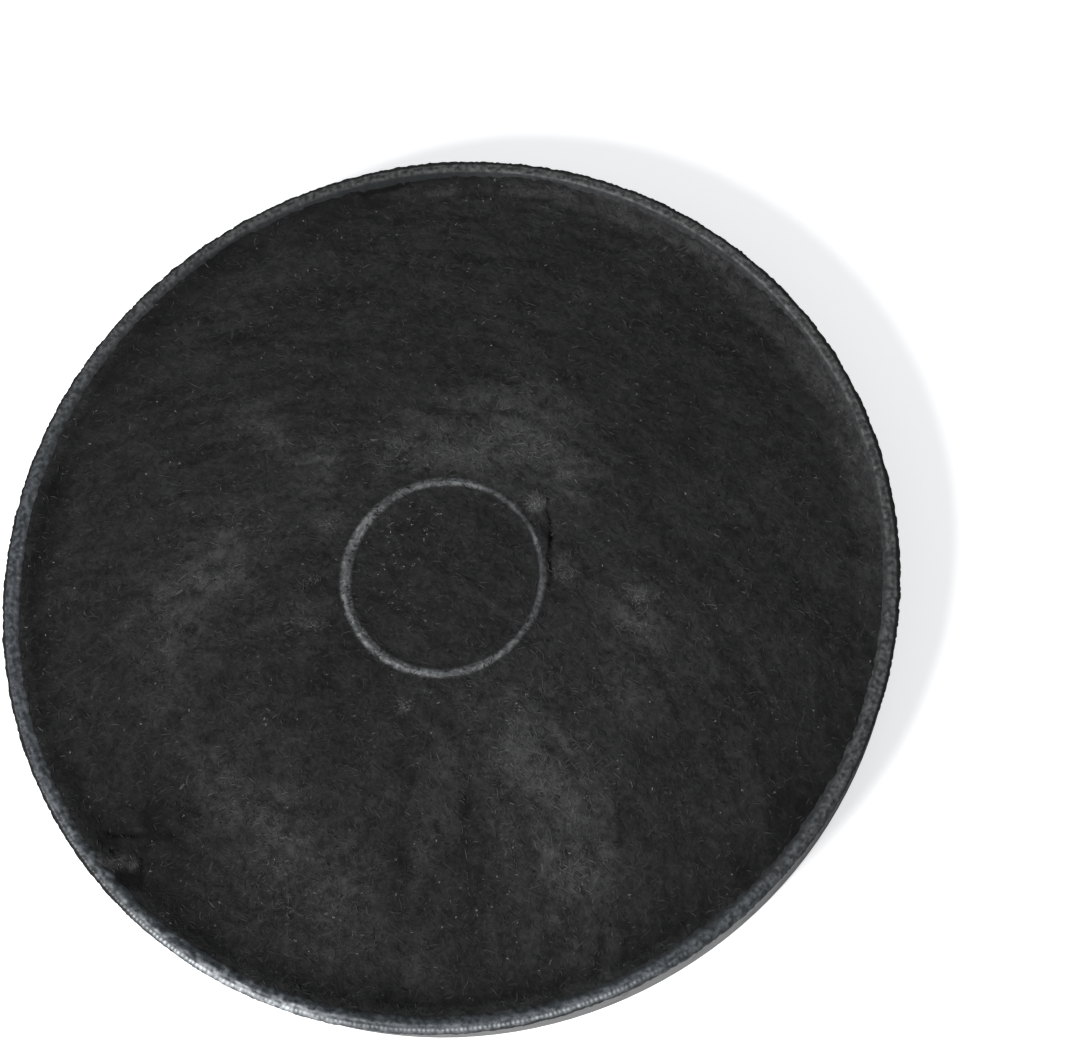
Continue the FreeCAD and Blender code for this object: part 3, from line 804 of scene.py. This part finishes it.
def band_finish(angles, out, bead, bead_row):
    """Where the band has a painted highlight toward the lamp, painted shade in its groove, between the
    beads and at its foot, a darker inner side at the bottom, its black torn edge, and a bluish side.
    """
    near, ripple = partial(side, angles), partial(rim_noise, angles)
    left, right_top, bottom = near(165, 75), near(35, 75), near(246, 38)

    # Painted highlight: the bead row and the band's top are lighter where they face the key lamp, on the
    # lower left.
    row_highlight = np.clip(0.12 * near(216, 8) + 0.55 * near(243, 15) + 0.38 * near(280, 16), 0, 1)
    body_highlight = np.clip(0.06 * near(208, 28) + 0.5 * near(243, 14)
                         + 0.25 * near(247, 7) + 0.15 * near(280, 12), 0, 1)
    body_end = -1.9 + 0.7 * ripple(1, 40) + 0.35 * ripple(3, 41)
    flecks = 0.5 + 0.5 * ripple(4, 42, out, 0.6)
    tone = bead_row * row_highlight * (0.04 + 0.96 * bead ** 2.5) * (0.9 + 0.7 * ripple(2, 46))
    tone = tone + smooth((out - body_end) / 0.5) * body_highlight * (0.1 + 0.9 * flecks ** 1.5)
    # Painted highlight on the inner crests at the upper right.
    crest_highlight = np.exp(-((out + 3.0) / 0.26) ** 2) * (0.55 + 0.45 * ripple(2, 47))
    crest_highlight = crest_highlight + np.exp(-((out + 1.85) / 0.25) ** 2) * smooth(1.6 * ripple(4, 48) - 0.2)
    # Painted highlight in patches on the lower left.
    highlight_patches = smooth((out + 3.7) / 0.4) * smooth(2.2 * ripple(2, 49, out, 1.0) - 0.3)
    dots = np.exp(-((out + 3.65) / 0.25) ** 2) * smooth(2 * ripple(3, 43) - 0.4)
    # Small bright dots at the foot, and painted light on the foot where it lies in shade on the lower left.
    tone = tone + near(210, 50) * (0.2 * dots + 0.07 * smooth((-out - 2.9) / 0.6))
    tone = tone + 0.09 * near(52, 30) * crest_highlight + 0.14 * near(236, 24) * highlight_patches

    shade = 0.4 * bottom * smooth((-out - 2.3 + 0.4 * ripple(1, 44)) / 0.5)
    shade = shade + 0.5 * near(238, 32) * np.exp(-((out + 1.42) / 0.2) ** 2)
    shade = shade + 0.85 * near(224, 12) * bead_row * (1 - bead)
    shade = shade + 0.75 * near(55, 60) * smooth((-out - 3.0) / 0.5)
    inside = 0.4 * near(110, 22) + 0.2 * near(152, 14) + 0.55 * near(308, 24)
    inside = inside + 0.3 * near(287, 10)
    shade = shade + inside * smooth((-out - 2.4 + 0.3 * ripple(1, 50)) / 0.6)
    foot = 0.45 * near(140, 22) + 0.35 * near(322, 20) + 0.25 * near(0, 10)
    shade = shade + foot * smooth((-out - 3.1) / 0.5)

    edge_width = 0.45 + 0.5 * left + 0.75 * near(45, 60)
    edge_width = edge_width - 0.2 * near(254, 22) - 0.2 * near(310, 22)
    burr = smooth((out + edge_width + 0.15 * ripple(2, 45)) / 0.3)
    burr = burr * (1 - 0.12 * right_top) * (1 - 0.5 * near(254, 22)) * (1 - 0.35 * near(310, 22))
    return {"tone": tone, "shade": shade, "burr": burr, "cool": near(235, 88)}


# Loops of the face felt, as from, to and step, and the reach of the close points beside the ring
FACE_LOOPS = ((0, 24, 0.8), (24, 33, 0.35), (33.2, 108, 0.8), (108, FELT_CUT_RADIUS, 0.6))
CLOSE_LOOPS = (25, 32.5)


def make_face_felt():
    """The felt face as one closed sheet: a fine upper side and a plain underside."""
    loops = [np.arange(*loop) for loop in FACE_LOOPS] + [[FELT_CUT_RADIUS]]
    radii = np.unique(np.concatenate(loops).round(3))
    top, top_faces, top_loops = disc_mesh(radii, FELT_SPACING, CLOSE_LOOPS, RING_SPACING)
    x, y = top[:, 0], top[:, 1]
    radius = np.hypot(x, y)
    top[:, 2] = felt_level(x, y)
    under_radii = np.linspace(0, FELT_CUT_RADIUS, 48)
    under, under_faces, under_loops = disc_mesh(under_radii, UNDERSIDE_SPACING)
    under_radius = np.hypot(under[:, 0], under[:, 1])
    thin = smooth((under_radius - 105) / 11)
    under[:, 2] = felt_profile(under_radius) - FELT_THICKNESS * (1 - 0.6 * thin)
    start = len(top)
    faces = top_faces + [(a + start, c + start, b + start) for a, b, c in under_faces]
    (a, na), (b, nb) = top_loops[-1], under_loops[-1]
    faces += stitch(a, na, b + start, nb)
    worn = np.concatenate([worn_share(x, y), np.zeros(len(under))])
    ragged = 0.3 * noise(x, y, 1.5, 41) + 0.15 * noise(x, y, 0.6, 42)
    angle = np.arctan2(y, x)
    # Painted highlight: the weld ring is lighter and wider on its side toward the lamp.
    lit_side = np.cos(angle - math.radians(190))
    ring_width = 0.95 + 0.25 * lit_side + 0.15 * noise(x, y, 8, 43)
    ring = smooth(1.5 - np.abs(radius - RING_RADIUS + ragged * 0.4) / ring_width)
    ring *= 0.62 + 0.14 * lit_side + 0.22 * noise(x, y, 9, 44) + 0.15 * noise(x, y, 2.5, 45)
    ring *= 1 - 0.5 * np.exp(-((np.degrees(angle) - 6) / 9) ** 2)
    melted = np.concatenate([ring, np.zeros(len(under))])
    material = felt_material("face_felt", PIT_BLACK, FACE_FELT_LIGHT, "worn", "melted")
    piece = make_piece("face_felt", np.vstack([top, under]), faces, material, worn=worn, melted=melted)
    turn_outwards(piece)
    return piece


def fibre_mesh(name, rng, x, y, length, tone, material, spread, lift, width):
    """Flat ribbons a few hundredths of a millimetre wide that lie on the felt along its strands."""
    steps = 3
    count = len(x)
    heading = swirl_place(x, y)[1] + math.pi / 2 + rng.normal(0, spread, count)
    bend = rng.normal(0, 0.45, count) / np.maximum(length, 1.5) ** 0.5
    arch = rng.uniform(0.2, 1.0, count) * lift
    half = rng.uniform(0.6, 1.4, count) * width / 2
    tilt = rng.uniform(-0.5, 0.5, count)
    px, py = x.copy(), y.copy()
    rows = []
    for k in range(steps + 1):
        share = k / steps
        angle = heading + bend * length * (share - 0.5)
        if k:
            px = px + np.cos(angle) * length / steps
            py = py + np.sin(angle) * length / steps
        level = felt_level(px, py) + arch * math.sin(math.pi * share) - 0.04
        half_here = half * (1 - 0.7 * abs(2 * share - 1))
        flat = half_here * np.cos(tilt)
        sx, sy, sz = -np.sin(angle) * flat, np.cos(angle) * flat, half_here * np.sin(tilt)
        rows.append(np.column_stack([px - sx, py - sy, level - sz]))
        rows.append(np.column_stack([px + sx, py + sy, level + sz]))
    points = np.stack(rows, 1).reshape(-1, 3)
    base = np.arange(count)[:, None] * 2 * (steps + 1)
    faces = np.vstack([base + np.array([2 * k, 2 * k + 1, 2 * k + 3, 2 * k + 2]) for k in range(steps)])
    tones = np.repeat(tone, 2 * (steps + 1))
    return make_piece(name, points, faces.tolist(), material, tone=tones)


def scatter(rng, count, limit):
    """Even random places inside a radius."""
    radius, angle = limit * np.sqrt(rng.uniform(0, 1, count)), rng.uniform(0, 2 * math.pi, count)
    return radius * np.cos(angle), radius * np.sin(angle)


# Fibres: seed, count, scatter of their direction, lift, width
FIBRE_LAYERS = (
    (101, 27000, 0.8, 0.06, 0.62),
    (102, 7000, 0.9, 0.12, 0.28),
    (103, 3500, 0.9, 0.3, 0.1),
)


def make_fibres(material):
    """Strands and loose fibres over the whole face, and lint caught in them."""
    pieces = []
    for index, (seed, count, spread, lift, width) in enumerate(FIBRE_LAYERS, start=1):
        rng = np.random.default_rng(seed)
        x, y = scatter(rng, 3 * count, BAND_INNER_RADIUS - 0.6)
        # Fibres are more and lighter where the felt's share of wear and painted light is high.
        worn = np.clip(worn_share(x, y), -0.6, 1)
        ring = np.abs(np.hypot(x, y) - RING_RADIUS) < 1.1
        keep = rng.uniform(0, 1, len(x)) < 0.35 + 0.65 * worn
        keep &= ~(ring & (rng.uniform(0, 1, len(x)) < 0.7))
        x, y, worn = x[keep][:count], y[keep][:count], np.clip(worn[keep][:count], 0, 1)
        length = np.clip(rng.lognormal(0.6, 0.4, len(x)), 0.7, 6.0)
        length = np.minimum(length, np.maximum(BAND_INNER_RADIUS + 0.6 - np.hypot(x, y), 0.7))
        tone = 0.07 * rng.uniform(0, 1, len(x)) + worn * (0.035 + 0.125 * rng.uniform(0, 1, len(x)))
        bright = rng.uniform(0, 1, len(x)) < 0.02 + 0.03 * worn
        tone[bright] += rng.uniform(0.03, 0.12, bright.sum())
        name = f"felt_fibres_{index}"
        pieces.append(fibre_mesh(name, rng, x, y, length, tone, material, spread, lift, width))
    pieces.append(make_lint(material))
    return pieces


def make_lint(material):
    """Tufts of short fibres: the placed ones, light and dark random ones, and specks inside the ring."""
    rng = np.random.default_rng(104)
    tufts = list(LINT)
    x, y = scatter(rng, 1500, BAND_INNER_RADIUS - 1)
    for px, py, share in zip(x, y, np.clip(worn_share(x, y), 0, 1)):
        bright = rng.uniform(0, 1) < 0.25
        tone = rng.uniform(0.22, 0.65) if bright else rng.uniform(0.05, 0.3) * (0.6 + share)
        tufts.append((px, py, 0.1, 5, tone))
    x, y = scatter(rng, 1100, BAND_INNER_RADIUS - 1)
    tufts += [(px, py, 0.12, 4, 0.0) for px, py in zip(x, y)]
    for _ in range(60):
        radius, angle = RING_RADIUS * rng.uniform(0.3, 0.93), math.radians(rng.normal(150, 45))
        tufts.append((radius * math.cos(angle), radius * math.sin(angle), rng.uniform(0.06, 0.3), 5,
                      0.1 + 0.9 * rng.uniform(0, 1) ** 2))
    sizes = np.array([tuft[3] for tuft in tufts])
    spread = np.repeat([tuft[2] for tuft in tufts], sizes)
    x = np.repeat([tuft[0] for tuft in tufts], sizes) + spread * rng.normal(0, 1, sizes.sum())
    y = np.repeat([tuft[1] for tuft in tufts], sizes) + spread * rng.normal(0, 0.7, sizes.sum())
    tone = np.repeat([tuft[4] for tuft in tufts], sizes) * rng.uniform(0.5, 1.3, sizes.sum())
    length = np.where(spread > 0.5, rng.uniform(0.4, 1.3, len(x)), rng.uniform(0.2, 0.5, len(x)))
    return fibre_mesh("felt_lint", rng, x, y, length, tone, material, 1.5, 0.15, 0.17)


def make_floor_felt():
    """The felt behind the grille: a closed ring that sags a little into the cells."""
    inner, outer = FLOOR_FELT_INNER, FLOOR_FELT_OUTER
    radii = np.append(np.arange(inner, outer - 0.5, 1.1), outer)
    low, low_faces, low_loops = disc_mesh(radii, 1.2)
    x, y = low[:, 0], low[:, 1]
    radius, angle = np.hypot(x, y), np.arctan2(y, x)
    pitch = (BORDER_RADIUS - COLLAR_RADIUS) / ROWS
    row_share = np.clip((radius - COLLAR_RADIUS) / pitch % 1.0, 0, 1)
    spoke_share = (angle / (2 * math.pi) * SPOKES) % 1.0
    in_grille = (radius > COLLAR_RADIUS) & (radius < BORDER_RADIUS)
    sag = np.where(in_grille, np.sin(math.pi * row_share) * np.sin(math.pi * spoke_share), 0)
    sag = smooth(sag * 1.6 - 0.3) * (0.35 + 0.12 * noise(x, y, 12, 51))
    sag = sag + 0.06 * noise(x, y, 2, 52) * in_grille
    low[:, 2] = GRILLE_TOP + 0.02 - np.clip(sag, 0, 0.6)
    top_radii = np.linspace(inner, outer, 24)
    top, top_faces, top_loops = disc_mesh(top_radii, 4)
    top[:, 2] = GRILLE_TOP + FLOOR_FELT_THICKNESS
    start = len(low)
    faces = low_faces + [(a + start, c + start, b + start) for a, b, c in top_faces]
    for end in (0, -1):
        (a, na), (b, nb) = low_loops[end], top_loops[end]
        faces += stitch(a, na, b + start, nb)
    material = felt_material("floor_felt", FLOOR_FELT_DARK, FLOOR_FELT_LIGHT)
    piece = make_piece("floor_felt", np.vstack([low, top]), faces, material)
    turn_outwards(piece)
    return piece


# Camera, light and floor

LENS_PIXELS, IMAGE_WIDTH, SENSOR_WIDTH = 2481.84, 1080, 36.0
CAMERA_AZIMUTH, CAMERA_ELEVATION, CAMERA_ROLL, CAMERA_DISTANCE = 21.4, 70.77, -22.55, 660.85
CAMERA_LOOK = (25.73, 13.53, 18.0)

# Floor, in metres: a hair below the filter, so that the two faces don't touch
FLOOR_SIZE, FLOOR_LEVEL = 8, -0.0002

# Lamps: name, direction, distance, size, power and colour, in metres and watts
LAMPS = (
    ("key", (-0.50, -0.56, 0.64), 1.2, 0.4, 31, (1.0, 1.0, 1.0)),
    ("fill", (0.5, 0.6, 0.9), 1.4, 0.9, 4, (0.95, 0.97, 1.0)),
)


def make_camera():
    """The photograph's camera: it looks steeply down, turned on its own axis."""
    azimuth, elevation, roll = (math.radians(v) for v in (CAMERA_AZIMUTH, CAMERA_ELEVATION, CAMERA_ROLL))
    back = Vector((math.sin(azimuth) * math.cos(elevation), -math.cos(azimuth) * math.cos(elevation),
                   math.sin(elevation)))
    level_right = Vector((0, 0, 1)).cross(back).normalized()
    level_up = back.cross(level_right)
    right = level_right * math.cos(roll) + level_up * math.sin(roll)
    up = level_up * math.cos(roll) - level_right * math.sin(roll)
    camera = bpy.data.objects.new("camera", bpy.data.cameras.new("camera"))
    turn = Matrix((right, up, back)).transposed().to_4x4()
    camera.matrix_world = Matrix.Translation((Vector(CAMERA_LOOK) + back * CAMERA_DISTANCE) * MM) @ turn
    camera.data.lens = LENS_PIXELS * SENSOR_WIDTH / IMAGE_WIDTH
    camera.data.sensor_width = SENSOR_WIDTH
    camera.data.clip_start, camera.data.clip_end = 0.01, 20
    bpy.context.scene.collection.objects.link(camera)
    bpy.context.scene.camera = camera


def make_lamp(name, direction, distance, size, power, colour):
    """A soft round lamp that faces the filter."""
    lamp = bpy.data.objects.new(name, bpy.data.lights.new(name, "AREA"))
    lamp.data.shape, lamp.data.size, lamp.data.energy, lamp.data.color = "DISK", size, power, colour
    lamp.location = Vector(direction).normalized() * distance
    lamp.rotation_mode = "QUATERNION"
    lamp.rotation_quaternion = Vector(direction).to_track_quat("Z", "Y")
    bpy.context.scene.collection.objects.link(lamp)


def seen_directly(tree):
    """1 for the camera, 0 for light and reflections on the object."""
    path = tree.nodes.new("ShaderNodeLightPath").outputs
    return math_node(tree, "MAXIMUM", path["Is Camera Ray"], path["Is Transmission Ray"])


def choose_by_view(tree, indirect, direct, output_kind):
    """Ends a tree: one shader for light and reflections, another for what is seen directly."""
    choice = tree.nodes.new("ShaderNodeMixShader")
    tree.links.new(seen_directly(tree), choice.inputs[0])
    tree.links.new(indirect.outputs[0], choice.inputs[1])
    tree.links.new(direct.outputs[0], choice.inputs[2])
    tree.links.new(choice.outputs[0], tree.nodes.new(output_kind).inputs[0])


def make_stage():
    """A pale floor, a white sky seen only directly, and soft studio light from the lower left."""
    bpy.ops.mesh.primitive_plane_add(size=FLOOR_SIZE, location=(0, 0, FLOOR_LEVEL))
    floor = bpy.context.object
    floor.name = "floor"
    material = bpy.data.materials.new("pale_floor")
    material.use_nodes = True
    tree = material.node_tree
    tree.nodes.clear()
    diffuse = add_node(tree, "ShaderNodeBsdfDiffuse", Color=(0.6, 0.6, 0.6, 1))
    glow = add_node(tree, "ShaderNodeEmission", Color=(1, 1, 1, 1), Strength=0.6)
    both = tree.nodes.new("ShaderNodeAddShader")
    tree.links.new(diffuse.outputs[0], both.inputs[0])
    tree.links.new(glow.outputs[0], both.inputs[1])
    choose_by_view(tree, diffuse, both, "ShaderNodeOutputMaterial")
    floor.data.materials.append(material)

    world = bpy.data.worlds.new("studio")
    bpy.context.scene.world = world
    world.use_nodes = True
    tree = world.node_tree
    tree.nodes.clear()
    soft = add_node(tree, "ShaderNodeBackground", Color=(0.88, 0.94, 1.0, 1), Strength=0.34)
    white = add_node(tree, "ShaderNodeBackground", Color=(1, 1, 1, 1), Strength=1.0)
    choose_by_view(tree, soft, white, "ShaderNodeOutputWorld")

    for lamp in LAMPS:
        make_lamp(*lamp)
    bpy.context.scene.view_settings.view_transform = "Standard"


def main():
    make_camera()
    make_stage()
    tray = make_tray()
    band = make_weld_band()
    face = make_face_felt()
    fibres = make_fibres(fibre_material())
    floor_felt = make_floor_felt()
    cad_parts["carbon_bed"].data.materials.clear()
    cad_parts["carbon_bed"].data.materials.append(granule_material())

    for piece in (tray, band, face, floor_felt, *fibres):
        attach(piece, "root")
    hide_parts("housing")
    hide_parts("face_fleece")
    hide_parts("base_fleece")


main()
